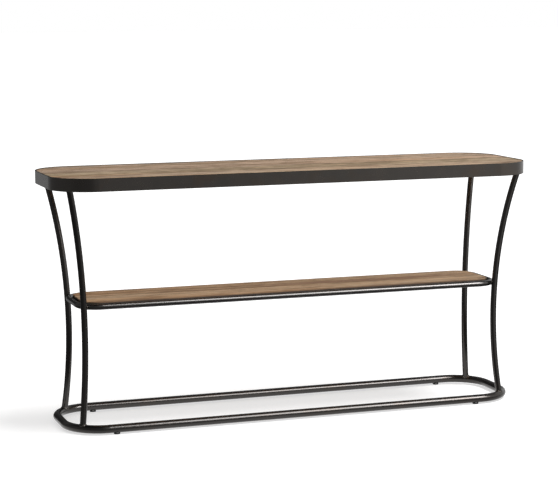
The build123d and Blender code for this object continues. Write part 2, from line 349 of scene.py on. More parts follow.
# How many times a noise turns in a metre along, across and through a plank
TOP_SHORT = (5.5, 56, 46)
SHELF_SHORT = (5, 56, 46)
STREAKS = (0.9, 36, 24)
BROAD = (0.9, 9, 5)
FINE = (7, 150, 150)
FIGURE = (26, 60, 60)
FIBRES = (14, 900, 900)
MARKS = (10, 120, 120)
PORES = (55, 1500, 1500)
SPLITS = (1.7, 60, 60)
WARMTH = (0.8, 26, 18)
KNOTS = (3.6, 10.5, 0)
WAVER = (1.5, 7, 7)
WAVER_REACH = (0, 0.05, 0.04)
RING_WIDTH = 5.2 * MM
RING_BEND = 9 * MM
HEART = (0.05, 0.52, 0.02, 0.022)  # red streak: first x, last x, middle y, half width
HEART_TONE = colour(0.215, 0.105, 0.058)
WARM_TINT = colour(1.06, 0.91, 0.74)
COOL_TINT = colour(0.88, 0.93, 0.99)
MARK_TINT = colour(0.62, 0.50, 0.40)
LATE_TONE = colour(0.09, 0.05, 0.03)
FIBRE_TONE = colour(0.50, 0.39, 0.28)
PORE_TONE = colour(0.07, 0.042, 0.026)
SWIRL_TONE = colour(0.17, 0.095, 0.05)
KNOT_TONE = colour(0.055, 0.030, 0.018)
SPLIT_TONE = colour(0.03, 0.018, 0.012)
GRIME_TONE = colour(0.10, 0.062, 0.038)
# Painted shade for the plank walls down in the seams
SEAM_SHADE_TONE = colour(0.030, 0.020, 0.014)


def wood_knots(g, moved):
    """Cores of scattered knots, and the swirl of the grain round them."""
    cells = g.add("ShaderNodeTexVoronoi", {"Vector": g.stretched(moved, KNOTS), "Scale": 1.0})
    chance = g.split(cells.outputs["Color"])[0]
    girth = g.between(chance, 0.42, 1.0, 0.0, 0.11)
    knot = g.math("DIVIDE", cells.outputs["Distance"], g.math("MAXIMUM", girth, 0.001))
    return g.between(knot, 1.15, 0.55), g.between(knot, 5.0, 0.6)


def late_wood(g, draw, grown, swirl):
    """Dark part of each growth ring. The rings go round a pith that runs at a slant below the plank."""
    x, y, _ = g.split(grown)
    lean = g.math("MULTIPLY_ADD", x, draw.uniform(0.03, 0.07), draw.uniform(-0.02, 0.02))
    depth = g.math("ADD", lean, draw.uniform(0.03, 0.06))
    across = g.math("SUBTRACT", y, draw.uniform(-0.12, 0.12))
    radius = g.vector("LENGTH", g.join(0.0, across, depth), out="Value")
    radius = g.math("ADD", radius, g.math("MULTIPLY", swirl, RING_BEND))
    ring = g.math("FRACT", g.math("DIVIDE", radius, RING_WIDTH))
    return g.math("MULTIPLY", g.between(ring, 0.45, 0.93), g.between(ring, 1.0, 0.955))


def add_heart(g, base, heart, x, y, fine):
    """Red heartwood streak with frayed sides."""
    first, last, middle, half = heart
    off = g.math("DIVIDE", g.math("ABSOLUTE", g.math("SUBTRACT", y, middle)), half)
    off = g.math("ADD", off, g.swing(fine, 1.6))
    red = g.math("MULTIPLY", g.between(off, 1.25, 0.45), g.between(x, first - 0.25, first + 0.1))
    red = g.math("MULTIPLY", red, g.between(x, last + 0.2, last - 0.1))
    return g.mix(g.math("MULTIPLY", red, 0.75), base, HEART_TONE)


def wood_tone(g, moved, short_scale, streak, broad, fine):
    """How light the wood is, about 0.5, from streaks of every length."""
    short = g.grain(moved, short_scale, 4.0, 0.64, 0.1)
    figure = g.grain(moved, FIGURE, 3.0, 0.6, offset=(3, 1, 9))
    tone = g.weighted((streak, 0.44), (broad, 0.08), (short, 0.48))
    tone = g.math("ADD", tone, g.swing(fine, 0.46))
    return g.math("ADD", tone, g.swing(figure, 0.3))


def add_warmth(g, base, moved, x):
    """Warmer and cooler streaks, and all a little warmer towards -X."""
    warm = g.grain(moved, WARMTH, 3.0, 0.6, offset=(7, 3, 0))
    warm = g.math("SUBTRACT", warm, g.math("MULTIPLY", x, 0.05))
    base = g.mix(g.between(warm, 0.49, 0.64, 0, 0.8), base, WARM_TINT, "MULTIPLY")
    return g.mix(g.between(warm, 0.49, 0.34, 0, 0.8), base, COOL_TINT, "MULTIPLY")


def add_grime_and_seam_shade(g, base, streak):
    """Dirt along worn edges, a little darkening underneath, and painted shade on the walls down in the
    seams.

    The plank's "edge" attribute is 0 inside a face, 1 at a worn edge, 0.3 underneath and more than 1 on the
    walls down in a seam, which are painted near black as shade.
    """
    edge = g.add("ShaderNodeAttribute", attribute_name="edge").outputs["Fac"]
    grime = g.math("MULTIPLY", edge, g.between(streak, 0.35, 0.6, 0.9, 0.45))
    base = g.mix(grime, base, GRIME_TONE)
    # Painted shade: the plank's walls down in the seams go near black
    return g.mix(g.between(edge, 1.05, 1.4), base, SEAM_SHADE_TONE)


def wood_material(name, tones, seed, short_scale, spread, heart=None):
    """Oiled plank with growth rings, streaks, fibres, pores, checks and knots."""
    made, g = material(name)
    dark, middle, light = (colour(*tone) for tone in tones)
    draw = random.Random(seed)
    shift = tuple(draw.uniform(-40, 40) for _ in range(3))
    place = g.add("ShaderNodeTexCoord").outputs["Object"]
    moved = g.vector("ADD", place, shift)
    waver = g.vector("SUBTRACT", g.grain(moved, WAVER, 2.0, out="Color"), (0.5, 0.5, 0.5))
    grown = g.vector("ADD", place, g.vector("MULTIPLY", waver, WAVER_REACH))
    x, y, _ = g.split(grown)
    core, swirl = wood_knots(g, moved)
    late = late_wood(g, draw, grown, swirl)

    streak = g.grain(moved, STREAKS, 4.0, 0.62, 0.15)
    broad = g.grain(moved, BROAD, 2.0)
    fine = g.grain(moved, FINE, 3.0, 0.6)
    fibre = g.grain(moved, FIBRES, 3.0, 0.65)
    mark = g.between(g.grain(moved, MARKS, 2.0, offset=(0, 5, 2)), 0.62, 0.72)
    pore = g.between(g.grain(moved, PORES, 1.0), 0.66, 0.74)
    split = g.math("ABSOLUTE", g.math("SUBTRACT", g.grain(moved, SPLITS, 2.0), 0.5))
    split = g.math("MULTIPLY", g.between(split, 0.006, 0.001), g.between(broad, 0.50, 0.62))

    tone = wood_tone(g, moved, short_scale, streak, broad, fine)
    base = g.ramp(tone, ((0.5 - spread, dark), (0.5, middle), (0.5 + spread, light)))
    base = add_warmth(g, base, moved, x)
    if heart:
        base = add_heart(g, base, heart, x, y, fine)
    base = g.mix(g.math("MULTIPLY", mark, 0.5), base, MARK_TINT, "MULTIPLY")
    base = g.mix(g.math("MULTIPLY", late, 0.42), base, g.mix(0.5, base, LATE_TONE))
    base = g.mix(g.between(fibre, 0.3, 0.7, 0, 0.22), base, FIBRE_TONE)
    base = g.mix(g.math("MULTIPLY", pore, 0.6), base, PORE_TONE)
    base = g.mix(g.between(swirl, 0.1, 1.0, 0, 0.5), base, SWIRL_TONE)
    base = g.mix(core, base, KNOT_TONE)
    base = g.mix(split, base, SPLIT_TONE)
    base = add_grime_and_seam_shade(g, base, streak)
    height = g.weighted((fibre, 0.35), (fine, 0.5), (pore, -0.5), (split, -1.6), (late, 0.3), (core, -0.7))
    g.principled({
        "Base Color": base,
        "Roughness": g.between(fine, 0.3, 0.7, 0.5, 0.68),
        "Specular IOR Level": 0.3,
        "Normal": g.bump(height, 0.55, 0.5 * MM),
    })
    return made


# ---------------------------------------------------------------- meshes


def make_object(name, points, faces, made, body="frame", sharp=None):
    """Smooth mesh piece that rides on a CAD body. Its edges stay hard from the angle sharp, in degrees."""
    mesh = bpy.data.meshes.new(name)
    mesh.from_pydata(points, [], faces)
    mesh.validate()
    mesh.materials.append(made)
    mesh.shade_smooth()
    if sharp:
        mesh.set_sharp_from_angle(angle=math.radians(sharp))
    piece = bpy.data.objects.new(name, mesh)
    bpy.context.scene.collection.objects.link(piece)
    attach(piece, body)
    return piece


def cut(name, axis, at):
    """Points where a CAD node's edges cross a plane square to an axis."""
    vertices = NODES[name].data.vertices
    found = []
    for edge in NODES[name].data.edges:
        a, b = (vertices[i].co for i in edge.vertices)
        if (a[axis] - at) * (b[axis] - at) < 0:
            found.append(a.lerp(b, (at - a[axis]) / (b[axis] - a[axis])))
    return found


def nodes_named(start):
    return sorted(name for name in NODES if name.startswith(start))


def middle_of(points):
    """Middle of the points' box."""
    low = Vector(min(p[i] for p in points) for i in range(3))
    high = Vector(max(p[i] for p in points) for i in range(3))
    return (low + high) / 2


def solid_tree(name):
    """Tree of a CAD node's faces, to cast rays at."""
    return BVHTree.FromObject(NODES[name], bpy.context.evaluated_depsgraph_get())


def held(value):
    """The value, held between 0 and 1."""
    return min(1.0, max(0.0, value))


def grid_border(rows, size):
    """Indices round the border of a grid of points."""
    last = rows - 1
    border = [i * size for i in range(rows)]
    border += [last * size + j for j in range(1, size)]
    border += [i * size + size - 1 for i in reversed(range(last))]
    border += list(reversed(range(1, size - 1)))
    return border


def band(first, second):
    """Faces between two rings of points."""
    count = len(first)
    return [(first[k], first[(k + 1) % count], second[(k + 1) % count], second[k]) for k in range(count)]


# ---------------------------------------------------------------- planks

PLANK_EASE = 1.1 * MM  # middle radius of a plank's worn edges
PLANK_EASE_CHANGE = 0.5  # share by which that radius comes and goes
PLANK_SWELL = 0.12 * MM
PLANK_WAVES = 5
PLANK_WORN = 7 * MM
PLANK_LIP_DEPTH = 5 * MM  # below the face, where a lip closes the seam to the next plank
PLANK_LIP_STEP = 0.3 * MM
PLANK_LIP = 0.28 * MM
PLANK_UNDERSIDE = 1.5 * MM
TOP_SUNK = 1.3 * MM
# Stations along a plank. They get closer over a stretch at each end, which holds a share of them.
PLANK_STATIONS = 150
PLANK_END = 0.15
PLANK_END_SHARE = 0.3
PLANK_END_STATIONS = 30  # at each end, which count their distance from it too
PLANK_NEAR_STATIONS = 12  # to both sides, where a spot looks for the nearest edge
PLANK_TIP = 0.2 * MM  # from the CAD board's ends to the outermost stations
# Rows across a plank, in shares of its edge's radius, and the number of rows between them
PLANK_ROWS = (0.0, 0.12, 0.35, 0.7, 1.2, 3.0, 7.0)
PLANK_MIDDLE = 8
# Values of the wood's "edge" attribute. The walls in a seam get a painted shade, and the underside comes
# out a little darker
SEAM_SHADE = 1.5
UNDERNEATH = 0.3


def plank_outline(name, low, high):
    """Stations along a plank's length, each as (x, lowest y, highest y), read from the CAD board."""
    stations = []
    first, last = low.x + PLANK_TIP, high.x - PLANK_TIP
    end = min(PLANK_END, (last - first) / 3)
    for i in range(PLANK_STATIONS + 1):
        t = i / PLANK_STATIONS
        if t < PLANK_END_SHARE:
            x = first + end * (1 - math.cos(t / PLANK_END_SHARE * math.pi / 2))
        elif t > 1 - PLANK_END_SHARE:
            x = last - end * (1 - math.cos((1 - t) / PLANK_END_SHARE * math.pi / 2))
        else:
            x = first + end + (last - first - 2 * end) * (t - PLANK_END_SHARE) / (1 - 2 * PLANK_END_SHARE)
        across = [p.y for p in cut(name, 0, x)]
        stations.append((x, min(across), max(across)))
    return stations


def plank_shares(width):
    """Places across a plank as shares of its width, close together near its edges."""
    near = [row * PLANK_EASE for row in PLANK_ROWS]
    step = (width - 2 * near[-1]) / (PLANK_MIDDLE + 1)
    middle = [near[-1] + step * (i + 1) for i in range(PLANK_MIDDLE)]
    return [d / width for d in near + middle + [width - d for d in reversed(near)]]


def edge_distance(spot, i, stations, outline):
    """Distance from a spot on station i to the plank's edge."""
    best = 1.0
    first, last = max(0, i - PLANK_NEAR_STATIONS), min(len(stations) - 1, i + PLANK_NEAR_STATIONS)
    for j in range(first, last):
        for side in (j, len(outline) - 2 - j):
            a, b = outline[side], outline[side + 1]
            near, t = intersect_point_line(spot, a, b)
            near = a if t < 0 else b if t > 1 else near
            best = min(best, (near - spot).length)
    if i < PLANK_END_STATIONS or i >= len(stations) - PLANK_END_STATIONS:
        best = min(best, spot.x - stations[0][0], stations[-1][0] - spot.x)
    return max(best, 0.0)


def plank_face(stations, shares, waves, top):
    """Points of a plank's upper face, worn round its edges, with the "edge" value of each."""
    outline = [Vector((x, a, 0)) for x, a, _ in stations]
    outline += [Vector((x, b, 0)) for x, _, b in reversed(stations)]
    points, edges = [], []
    for i, (x, a, b) in enumerate(stations):
        for share in shares:
            spot = Vector((x, a + (b - a) * share, 0))
            away = edge_distance(spot, i, stations, outline)
            wear = sum(math.sin(k * x * 2 + p) for k, _, p in waves) / len(waves)
            ease = PLANK_EASE * (1 + PLANK_EASE_CHANGE * wear)
            drop = 0.0
            if away < ease:
                drop = ease * (1 - math.sqrt(max(0.0, 1 - (1 - away / ease) ** 2)))
            swell = sum(math.sin(k * x + m * spot.y + p) for k, m, p in waves) / len(waves)
            drop += PLANK_SWELL * (1 + swell) * min(1.0, away / PLANK_WORN)
            points.append((x, spot.y, top - drop))
            edges.append(max(0.0, 1 - away / PLANK_WORN) ** 2)
    return points, edges


def make_plank(name, node, made, seed, seams, sunk=0.0):
    """Plank with worn edges in place of a CAD board. seams are the sides, -1 or 1, that meet a plank."""
    low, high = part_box(node)
    stations = plank_outline(node, low, high)
    draw = random.Random(seed)
    waves = [(draw.uniform(3, 14), draw.uniform(10, 60), draw.uniform(0, TURN)) for _ in range(PLANK_WAVES)]
    shares = plank_shares(max(b - a for _, a, b in stations))
    points, edges = plank_face(stations, shares, waves, high.z - sunk)
    rows, size = len(stations), len(shares)
    corners = [i * size + j for i in range(rows - 1) for j in range(size - 1)]
    faces = [(k, k + size, k + size + 1, k + 1) for k in corners]
    border = grid_border(rows, size)
    lip = high.z - PLANK_LIP_DEPTH
    # Walls below the face take the seam value, which paints them near black as shade
    levels = [(lip, 0.0, SEAM_SHADE), (lip - PLANK_LIP_STEP, PLANK_LIP, SEAM_SHADE)]
    levels += [(low.z + PLANK_UNDERSIDE, PLANK_LIP, SEAM_SHADE), (low.z, PLANK_LIP, UNDERNEATH)]
    upper = border
    for z, out, edge in levels:
        lower = list(range(len(points), len(points) + len(border)))
        for k in border:
            side = {0: -1, size - 1: 1}.get(k % size, 0)
            points.append((points[k][0], points[k][1] + (side * out if side in seams else 0.0), z))
            edges.append(edge)
        for i in range(len(border)):
            j = (i + 1) % len(border)
            faces.append((upper[i], lower[i], lower[j], upper[j]))
        upper = lower
    faces.append(tuple(reversed(upper)))
    piece = make_object(name, points, faces, made, sharp=50)
    piece.data.attributes.new("edge", "FLOAT", "POINT").data.foreach_set("value", edges)
    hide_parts(node)


def seam_sides(i, count):
    """Sides of plank i, -1 or 1, that meet another of the planks."""
    return [side for side in (-1, 1) if 1 <= i + side <= count]


def make_wood():
    """Every board of the top and of the shelf as a plank with its own wood."""
    boards = nodes_named("top_board")
    for i, board in enumerate(boards, 1):
        draw = random.Random(TOP_TONE_SEED + i)
        tones = [[c * draw.uniform(*TOP_TONE_RANGE) for c in tone] for tone in TOP_TONES]
        made = wood_material(f"top_wood_{i}", tones, TOP_WOOD_SEED + i, TOP_SHORT, TOP_SPREAD)
        seams = seam_sides(i, len(boards))
        make_plank(f"top_plank_{i}", board, made, TOP_PLANK_SEED + i, seams, TOP_SUNK)
    boards = nodes_named("shelf_board")
    for i, board in enumerate(boards, 1):
        seed = SHELF_WOOD_SEED + i
        heart = HEART if i == len(boards) else None
        made = wood_material(f"shelf_wood_{i}", SHELF_TONES, seed, SHELF_SHORT, SHELF_SPREAD, heart)
        seams = seam_sides(i, len(boards))
        make_plank(f"shelf_plank_{i}", board, made, SHELF_PLANK_SEED + i, seams)


# ---------------------------------------------------------------- welds

WELD_RIPPLE = 1.7 * MM
WELD_STEP = 0.3 * MM
WELD_SIDES = 10
WELD_SQUASH = 0.85
WELD_GIRTH = (0.86, 0.16, 0.12)  # shares of its radius: the least, and what ripples and slow wander add
LEG_RADIUS = 9.5 * MM
LEG_CUTS = (14 * MM, 30 * MM)  # from a leg's end, which give its direction there
LEG_BEAD_STEPS = 72
LEG_BEAD_REACH = 0.06
LEG_BEAD_OFF = 0.2 * MM
LEG_BEAD_LIFT = 0.25  # share of its radius that a bead stands off the corner
FOOT_BEAD = 2.1 * MM
HEAD_BEAD = 2.0 * MM
SHELF_BEAD = 1.7 * MM
SHELF_BEAD_GAP = 2.6 * MM
SHELF_BEAD_STEPS = 48
SHELF_SEARCH = 0.15 * MM
SHELF_TRIES = range(10, 80)  # steps away from the touch, until the gap is as wide as the bead
SHELF_REACH = 0.03
SHELF_CUT = 8 * MM
STEEL_BEAD = 1.8 * MM  # for the plates and the bars
STEEL_BEAD_POINTS = 13
STEEL_BEAD_DROP = 0.6 * MM
STEEL_BEAD_SLANT = 0.6
BEAD_MARGIN = 2 * MM  # left bare at each side of a bar or a strap
PLATE_TURNS = (8, 34, 60)  # in degrees, where the beads along a corner plate begin
PLATE_TURN_STEP = 1.6
PLATE_INNER = (0.02, 0.005)  # from the plate's inner corner to where the rays to the rim start
PLATE_REACH = 0.3
PLATE_BEAD_OFF = 0.8 * MM
BAR_BEAD_OFF = 0.4 * MM
STRAP_BEAD = 1.3 * MM
STRAP_POINTS = 9
STRAP_INNER = 30 * MM  # from the strap's end to where the rays to the ring start
STRAP_RISE = 0.8 * MM
STRAP_REACH = 0.1
STRAP_BEAD_SHIFT = (0.4 * MM, 0.1 * MM)  # off the ring, and up
STRAP_BEAD_SLANT = 0.5


class Beads:
    """Gathers weld beads into one mesh."""

    def __init__(self, seed):
        self.draw = random.Random(seed)
        self.points, self.faces = [], []

    def add(self, path, radius, closed=False):
        """Rippled bead of uneven width along a path of (place, outward direction)."""
        rungs = resample(path, closed)
        phase = [self.draw.uniform(0, TURN) for _ in range(4)]
        count = len(rungs)
        length = WELD_STEP * count
        least, rippled, uneven = WELD_GIRTH
        rings = []
        for i, (place, out) in enumerate(rungs):
            before, after = rungs[i - 1][0], rungs[(i + 1) % count][0]
            if not closed:
                before, after = rungs[max(i - 1, 0)][0], rungs[min(i + 1, count - 1)][0]
            along = (after - before).normalized()
            out = (out - along * out.dot(along)).normalized()
            side = along.cross(out)
            s = i * WELD_STEP
            ripple = abs(math.sin(math.pi * s / WELD_RIPPLE)) ** 0.7
            wander = sum(math.sin(TURN * s / length * (k + 2) + p) for k, p in enumerate(phase)) / 4
            girth = radius * (least + rippled * ripple + uneven * wander)
            if not closed:
                girth *= min(1.0, math.sqrt((min(i, count - 1 - i) + 0.15) * WELD_STEP / radius))
            rings.append(list(range(len(self.points), len(self.points) + WELD_SIDES)))
            for k in range(WELD_SIDES):
                turn = TURN * k / WELD_SIDES
                lift, width = girth * WELD_SQUASH * math.cos(turn), girth * math.sin(turn)
                self.points.append(place + out * lift + side * width)
        for ring, following in zip(rings, rings[1:]):
            self.faces += band(ring, following)
        if closed:
            self.faces += band(rings[-1], rings[0])
        else:
            self.faces += [tuple(reversed(rings[0])), tuple(rings[-1])]

    def finish(self, name, made):
        make_object(name, self.points, self.faces, made)


def resample(path, closed):
    """The path again, with its points WELD_STEP apart."""
    pairs = list(zip(path, path[1:] + path[:1] if closed else path[1:]))
    lengths = [(b[0] - a[0]).length for a, b in pairs]
    total = sum(lengths)
    count = max(8, round(total / WELD_STEP))
    found, travelled, index = [], 0.0, 0
    for i in range(count):
        wanted = total * i / (count if closed else count - 1)
        while index < len(pairs) - 1 and travelled + lengths[index] < wanted:
            travelled += lengths[index]
            index += 1
        (a, out_a), (b, out_b) = pairs[index]
        t = min(1.0, (wanted - travelled) / max((b - a).length, 1e-9))
        found.append((a.lerp(b, t), out_a.lerp(out_b, t)))
    return found


def weld_leg_end(beads, leg, z, inward, tree, radius):
    """Bead round a leg's end, on the surface ahead of it. inward is 1 at its foot and -1 at its head."""
    end, further = (middle_of(cut(leg, 2, z + inward * d)) for d in LEG_CUTS)
    axis = (end - further).normalized()
    across = axis.orthogonal().normalized()
    other = axis.cross(across)
    path = []
    for i in range(LEG_BEAD_STEPS):
        turn = TURN * i / LEG_BEAD_STEPS
        out = across * math.cos(turn) + other * math.sin(turn)
        hit, normal, _, _ = tree.ray_cast(end + out * (LEG_RADIUS + LEG_BEAD_OFF), axis, LEG_BEAD_REACH)
        if hit is None:
            return
        lift = (normal + out).normalized()
        path.append((hit + lift * radius * LEG_BEAD_LIFT, lift))
    beads.add(path, radius, closed=True)


def weld_shelf(beads, leg, height, ring_tree, leg_tree):
    """Bead in a loop round the place where a leg touches the shelf's ring."""
    low, high = (middle_of(cut(leg, 2, height + d)) for d in (-SHELF_CUT, SHELF_CUT))
    up = (high - low).normalized()
    ring_point = ring_tree.find_nearest((low + high) / 2)[0]
    leg_point = leg_tree.find_nearest(ring_point)[0]
    out = (leg_point - ring_point).normalized()
    middle = (leg_point + ring_point) / 2
    side = up.cross(out).normalized()
    path = []
    for i in range(SHELF_BEAD_STEPS):
        turn = TURN * i / SHELF_BEAD_STEPS
        along = side * math.cos(turn) + up * math.sin(turn)
        for step in SHELF_TRIES:
            spot = middle + along * step * SHELF_SEARCH
            to_leg = leg_tree.ray_cast(spot, out, SHELF_REACH)[0]
            to_ring = ring_tree.ray_cast(spot, -out, SHELF_REACH)[0]
            if to_leg is None or to_ring is None or (to_leg - to_ring).length > SHELF_BEAD_GAP:
                break
        if to_leg is None or to_ring is None:
            path.append((spot, along))
        else:
            path.append(((to_leg + to_ring) / 2, along))
    beads.add(path, SHELF_BEAD, closed=True)


def weld_plate(beads, corner, rim_tree):
    """Short beads along the rim, where it meets a corner plate."""
    low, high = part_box(corner + "_corner_plate")
    side_x, side_y = math.copysign(1, low.x), math.copysign(1, low.y)
    inner_x = side_x * (min(abs(low.x), abs(high.x)) + PLATE_INNER[0])
    inner_y = side_y * (min(abs(low.y), abs(high.y)) + PLATE_INNER[1])
    inner = Vector((inner_x, inner_y, low.z - STEEL_BEAD_DROP))
    for first in PLATE_TURNS:
        path = []
        for i in range(STEEL_BEAD_POINTS):
            turn = math.radians(first + i * PLATE_TURN_STEP)
            ray = Vector((side_x * math.cos(turn), side_y * math.sin(turn), 0))
            hit = rim_tree.ray_cast(inner, ray, PLATE_REACH)[0]
            if hit:
                path.append((hit - ray * PLATE_BEAD_OFF, Vector((0, 0, -1)) - ray * STEEL_BEAD_SLANT))
        beads.add(path, STEEL_BEAD)


def weld_bar(beads, bar, side):
    """Straight bead across one end of a bar under the top."""
    low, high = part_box(bar)
    y, z = side * (high.y - BAR_BEAD_OFF), low.z - STEEL_BEAD_DROP
    start, end = Vector((low.x + BEAD_MARGIN, y, z)), Vector((high.x - BEAD_MARGIN, y, z))
    out = Vector((0, -side * STEEL_BEAD_SLANT, -1))
    last = STEEL_BEAD_POINTS - 1
    beads.add([(start.lerp(end, i / last), out) for i in range(last + 1)], STEEL_BEAD)


def weld_strap(beads, strap, side, ring_tree):
    """Bead across one end of a strap, along the shelf's ring."""
    low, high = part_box(strap)
    off, up = STRAP_BEAD_SHIFT
    shift = Vector((0, -side * off, up))
    out = Vector((0, -side * STRAP_BEAD_SLANT, -1))
    path = []
    for i in range(STRAP_POINTS):
        x = low.x + BEAD_MARGIN + (high.x - low.x - 2 * BEAD_MARGIN) * i / (STRAP_POINTS - 1)
        start = Vector((x, side * (high.y - STRAP_INNER), low.z + STRAP_RISE))
        hit = ring_tree.ray_cast(start, Vector((0, side, 0)), STRAP_REACH)[0]
        if hit:
            path.append((hit + shift, out))
    beads.add(path, STRAP_BEAD)


def make_welds(steel):
    """All beads, in one mesh each for the legs' feet, the shelf and the top."""
    base_tree, shelf_tree, rim_tree = (solid_tree(n) for n in ("base_ring", "shelf_ring", "top_rim"))
    feet, shelf, head = Beads(FEET_BEAD_SEED), Beads(SHELF_BEAD_SEED), Beads(HEAD_BEAD_SEED)
    shelf_low, shelf_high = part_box("shelf_ring")
    for corner in CORNERS:
        leg = corner + "_leg"
        low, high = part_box(leg)
        weld_leg_end(feet, leg, low.z, 1, base_tree, FOOT_BEAD)
        weld_leg_end(head, leg, high.z, -1, solid_tree(corner + "_corner_plate"), HEAD_BEAD)
        weld_shelf(shelf, leg, (shelf_low.z + shelf_high.z) / 2, shelf_tree, solid_tree(leg))
        weld_plate(head, corner, rim_tree)
    for bar in nodes_named("top_bar"):
        for side in (-1, 1):
            weld_bar(head, bar, side)
    for strap in nodes_named("shelf_strap"):
        for side in (-1, 1):
            weld_strap(shelf, strap, side, shelf_tree)
    feet.finish("welds_feet", steel)
    shelf.finish("welds_shelf", steel)
    head.finish("welds_top", steel)


# ---------------------------------------------------------------- screws

SCREW_GRID = 22
SCREW_HEAD_R = 4.0 * MM
SCREW_HEAD_H = 2.4 * MM
SCREW_SHANK_R = 2.0 * MM
SCREW_POINT_R = 0.2 * MM
SCREW_POINT_L = 3 * MM
RECESS_DEPTH = 1.3 * MM
RECESS_ARM = 2.3 * MM
RECESS_GROOVE = 0.55 * MM
RECESS_SIDE_SLOPE = 0.3 * MM
RECESS_END_SLOPE = 0.5 * MM


def islands(name):
    """Middle, lowest z and highest z of each separate solid of a CAD node."""
    mesh = NODES[name].data
    parent = list(range(len(mesh.vertices)))

    def root(i):
        while parent[i] != i:
            parent[i] = parent[parent[i]]
            i = parent[i]
        return i

    same = {}
    for vertex in mesh.vertices:
        key = tuple(round(c * 1e5) for c in vertex.co)
        parent[root(vertex.index)] = root(same.setdefault(key, vertex.index))
    for edge in mesh.edges:
        a, b = edge.vertices
        parent[root(a)] = root(b)
    groups = {}
    for vertex in mesh.vertices:
        groups.setdefault(root(vertex.index), []).append(vertex.co)
    return [(middle_of(g), min(p.z for p in g), max(p.z for p in g)) for g in groups.values()]


def screw_head(turn):
    """Grid of points over a pan head that faces down, as (x, y, height over the head's lowest point)."""
    found = []
    c, s = math.cos(turn), math.sin(turn)
    for i in range(SCREW_GRID + 1):
        for j in range(SCREW_GRID + 1):
            u, v = 2 * i / SCREW_GRID - 1, 2 * j / SCREW_GRID - 1
            px, py = u * math.sqrt(1 - v * v / 2), v * math.sqrt(1 - u * u / 2)
            away = min(1.0, math.hypot(px, py))
            x, y = px * SCREW_HEAD_R, py * SCREW_HEAD_R
            narrow, far = sorted((abs(x), abs(y)))
            in_groove = held((RECESS_GROOVE - narrow) / RECESS_SIDE_SLOPE)
            in_arm = held((RECESS_ARM - far) / RECESS_END_SLOPE)
            rise = SCREW_HEAD_H * (1 - (1 - away ** 4) ** 0.5) + RECESS_DEPTH * in_groove * in_arm
            found.append((x * c - y * s, x * s + y * c, min(rise, SCREW_HEAD_H)))
    return found


def make_screws(name, node, made, seed):
    """Pan heads with a cross recess, and shanks, in place of a CAD node's plain screws."""
    draw = random.Random(seed)
    size = SCREW_GRID + 1
    points, faces = [], []
    for centre, bottom, top in islands(node):
        start = len(points)
        head = screw_head(draw.uniform(0, math.pi / 2))
        points += [(centre.x + x, centre.y + y, bottom + z) for x, y, z in head]
        for i in range(SCREW_GRID):
            for j in range(SCREW_GRID):
                k = start + i * size + j
                faces.append((k, k + 1, k + size + 1, k + size))
        rim = [start + k for k in grid_border(size, size)]
        rays = [Vector((points[k][0] - centre.x, points[k][1] - centre.y)).normalized() for k in rim]
        shank = [(SCREW_SHANK_R, bottom + SCREW_HEAD_H), (SCREW_SHANK_R, top - SCREW_POINT_L)]
        for radius, z in shank + [(SCREW_POINT_R, top)]:
            ring = list(range(len(points), len(points) + len(rim)))
            points += [(centre.x + ray.x * radius, centre.y + ray.y * radius, z) for ray in rays]
            faces += band(rim, ring)
            rim = ring
        faces.append(tuple(rim))
    piece = make_object(name, points, faces, made, sharp=40)
    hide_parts(node)


# ---------------------------------------------------------------- foot studs

STUD_SIDES = 36
STUD_PITCH = 1.25 * MM
STUD_STEPS = 8  # rings to a turn of the thread
STUD_MAJOR = 4.0 * MM
STUD_MINOR = 3.35 * MM
STUD_CREST = 1.25  # where the flanks of a tooth would meet, if it weren't cut flat at 1
STUD_FLANK = 3.2  # how far the flanks would fall in one pitch
STUD_NECK = 2.7 * MM
STUD_HEAD = 1.3 * MM
STUD_EASE = 0.2 * MM
STUD_TIP = 0.8 * MM
KEY_HALF = 1.5 * MM
KEY_DEPTH = 2.2 * MM


def make_stud(corner, made):
    """Levelling stud with its thread and a key socket in its head, in place of a plain CAD stud."""
    node = corner + "_foot_stud"
    low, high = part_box(node)
    x, y, head = (low.x + high.x) / 2, (low.y + high.y) / 2, (high.x - low.x) / 2
    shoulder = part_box("base_ring")[0].z
    turns = [TURN * k / STUD_SIDES for k in range(STUD_SIDES)]
    sixth = TURN / 6
    socket = [KEY_HALF / math.cos((turn + sixth / 2) % sixth - sixth / 2) for turn in turns]
    head_top = low.z + STUD_HEAD
    levels = [(socket, low.z + KEY_DEPTH), (socket, low.z)]
    profile = [(head - STUD_EASE, low.z), (head, low.z + STUD_EASE), (head, head_top - STUD_EASE)]
    profile += [(head - STUD_EASE, head_top), (STUD_NECK, head_top), (STUD_NECK, shoulder)]
    levels += [([radius] * STUD_SIDES, z) for radius, z in profile]
    steps = int((high.z - shoulder) / STUD_PITCH * STUD_STEPS)
    for i in range(steps + 1):
        z = shoulder + (high.z - shoulder) * i / steps
        limit = STUD_MAJOR - max(0.0, z - (high.z - STUD_TIP))
        phases = [(z / STUD_PITCH - k / STUD_SIDES) % 1.0 for k in range(STUD_SIDES)]
        teeth = [held(STUD_CREST - abs(phase - 0.5) * STUD_FLANK) for phase in phases]
        levels.append(([min(STUD_MINOR + (STUD_MAJOR - STUD_MINOR) * tooth, limit) for tooth in teeth], z))
    points, faces, rings = [], [], []
    for radii, z in levels:
        rings.append(list(range(len(points), len(points) + STUD_SIDES)))
        points += [(x + r * math.cos(turn), y + r * math.sin(turn), z) for r, turn in zip(radii, turns)]
    for ring, following in zip(rings, rings[1:]):
        faces += band(ring, following)
    faces += [tuple(reversed(rings[0])), tuple(rings[-1])]
    name, body = corner + "_threaded_stud", corner + "_stud"
    piece = make_object(name, points, faces, made, body, sharp=35)
    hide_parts(node)


# ---------------------------------------------------------------- camera and studio


def add_to_scene(name, data):
    thing = bpy.data.objects.new(name, data)
    bpy.context.scene.collection.objects.link(thing)
    return thing


